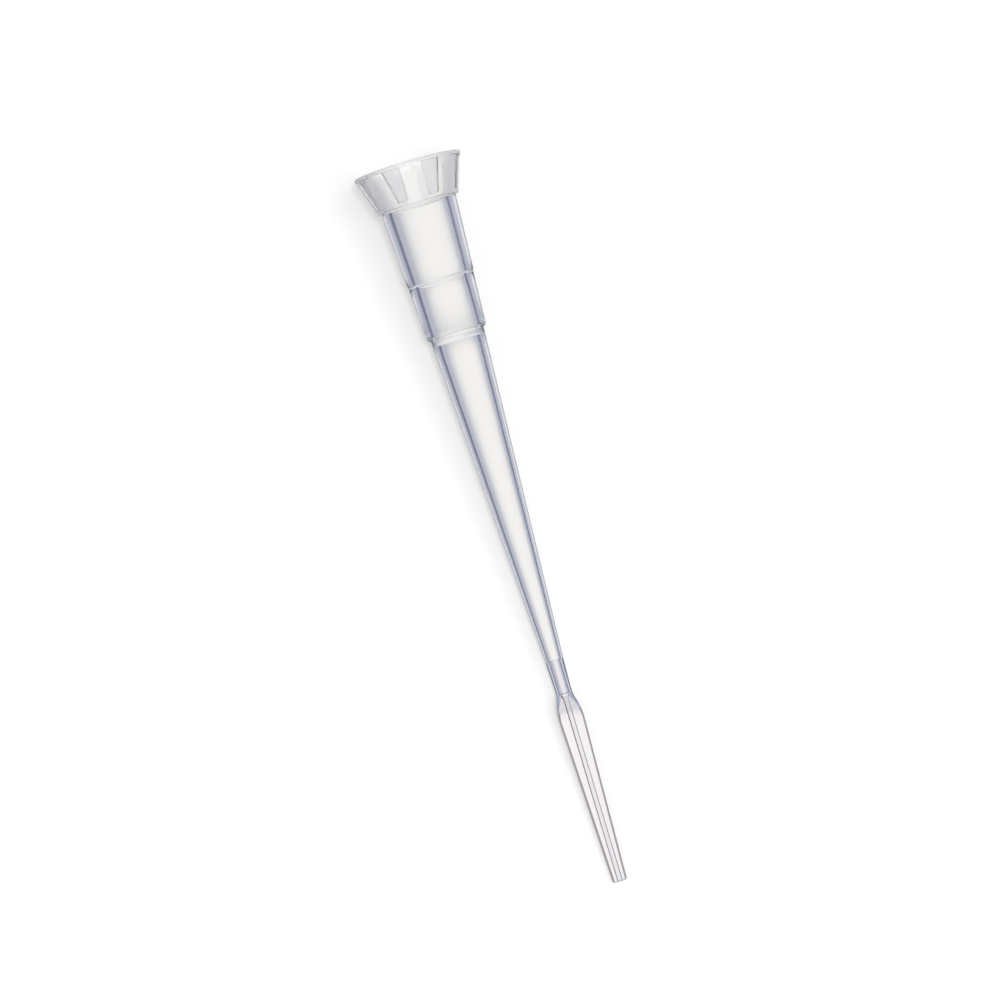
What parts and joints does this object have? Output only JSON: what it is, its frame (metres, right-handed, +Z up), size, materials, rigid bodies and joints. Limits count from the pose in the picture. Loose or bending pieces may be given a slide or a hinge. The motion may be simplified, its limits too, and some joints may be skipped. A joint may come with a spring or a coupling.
{
  "type": "pipette tip",
  "caption": "Flat-ended gel-loading pipette tip in clear plastic: a ribbed collar and stepped bore push onto a pipette nozzle, and a thin blade with a fine channel fits between gel plates.",
  "frame": {"origin": "middle of the tip's footprint, on the surface it lies on", "axes": "+X along the tip from the collar to the blade's end, level; +Z up. The tip's own axis lies in the XZ plane and falls 3.9 degrees towards +X."},
  "size_m": [0.0462, 0.0066, 0.0067],
  "materials": {
    "clear_polypropylene": "clear, smooth moulded polypropylene"
  },
  "bodies": {
    "root": {"gel_loading_tip": "clear_polypropylene"}
  },
  "joints": []
}
